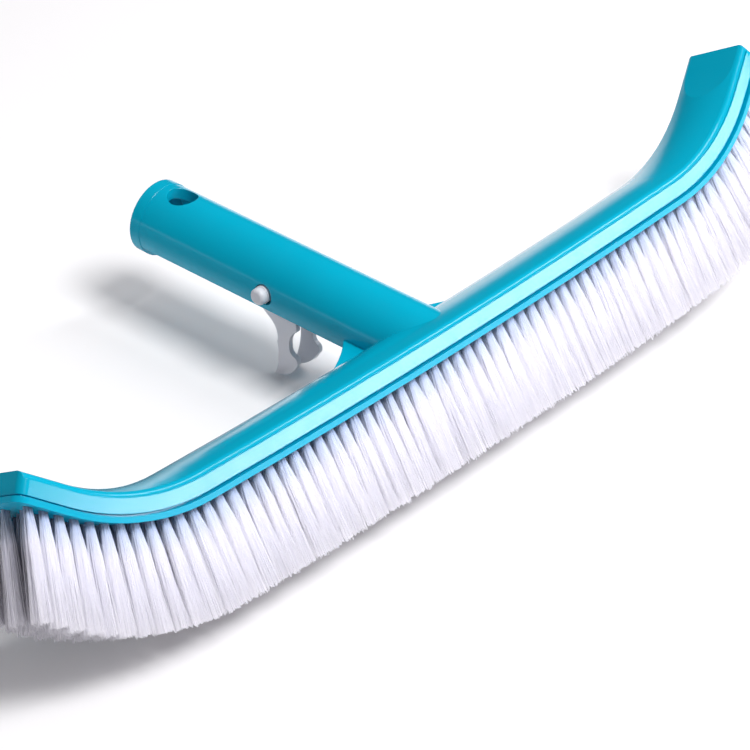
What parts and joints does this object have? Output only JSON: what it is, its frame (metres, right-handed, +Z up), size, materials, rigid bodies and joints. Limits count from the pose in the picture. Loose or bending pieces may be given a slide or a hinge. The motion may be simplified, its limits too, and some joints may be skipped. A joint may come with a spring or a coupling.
{
  "type": "pool wall brush",
  "caption": "Curved pool wall brush with upswept ends, white nylon tufts, a pole socket and a two-button snap clip.",
  "frame": {"origin": "middle of the pole socket's free end, on its axis", "axes": "+X along the brush, +Y along the pole socket's axis and out of its free end, +Z up"},
  "size_m": [0.4258, 0.1692, 0.0824],
  "materials": {
    "shell": "gloss",
    "block": "satin",
    "bristle": "drawn filament",
    "anchor": "galvanised",
    "clip": "satin, slightly translucent"
  },
  "bodies": {
    "brush": {"brush_back": "shell", "bristle_block": "block", "clip_bow": "clip", "tufts_row_1": "bristle", "tufts_row_2": "bristle", "tufts_row_3": "bristle", "tufts_row_4": "bristle", "tufts_row_5": "bristle", "tuft_anchors_row_1": "anchor", "tuft_anchors_row_2": "anchor", "tuft_anchors_row_3": "anchor", "tuft_anchors_row_4": "anchor", "tuft_anchors_row_5": "anchor"},
    "left_arm": {"clip_arm_left": "clip"},
    "right_arm": {"clip_arm_right": "clip"}
  },
  "joints": [
    {"name": "clip_left_squeeze", "type": "hinge", "parent": "brush", "child": "left_arm", "pos_m": [-0.00455, -0.0341, 0], "axis": [0, 0, 1], "range_deg": [0, 5.8], "stiffness_Nm_per_rad": 0.02},
    {"name": "clip_right_squeeze", "type": "hinge", "parent": "brush", "child": "right_arm", "pos_m": [0.00455, -0.0341, 0], "axis": [0, 0, -1], "range_deg": [0, 5.8], "stiffness_Nm_per_rad": 0.02}
  ]
}
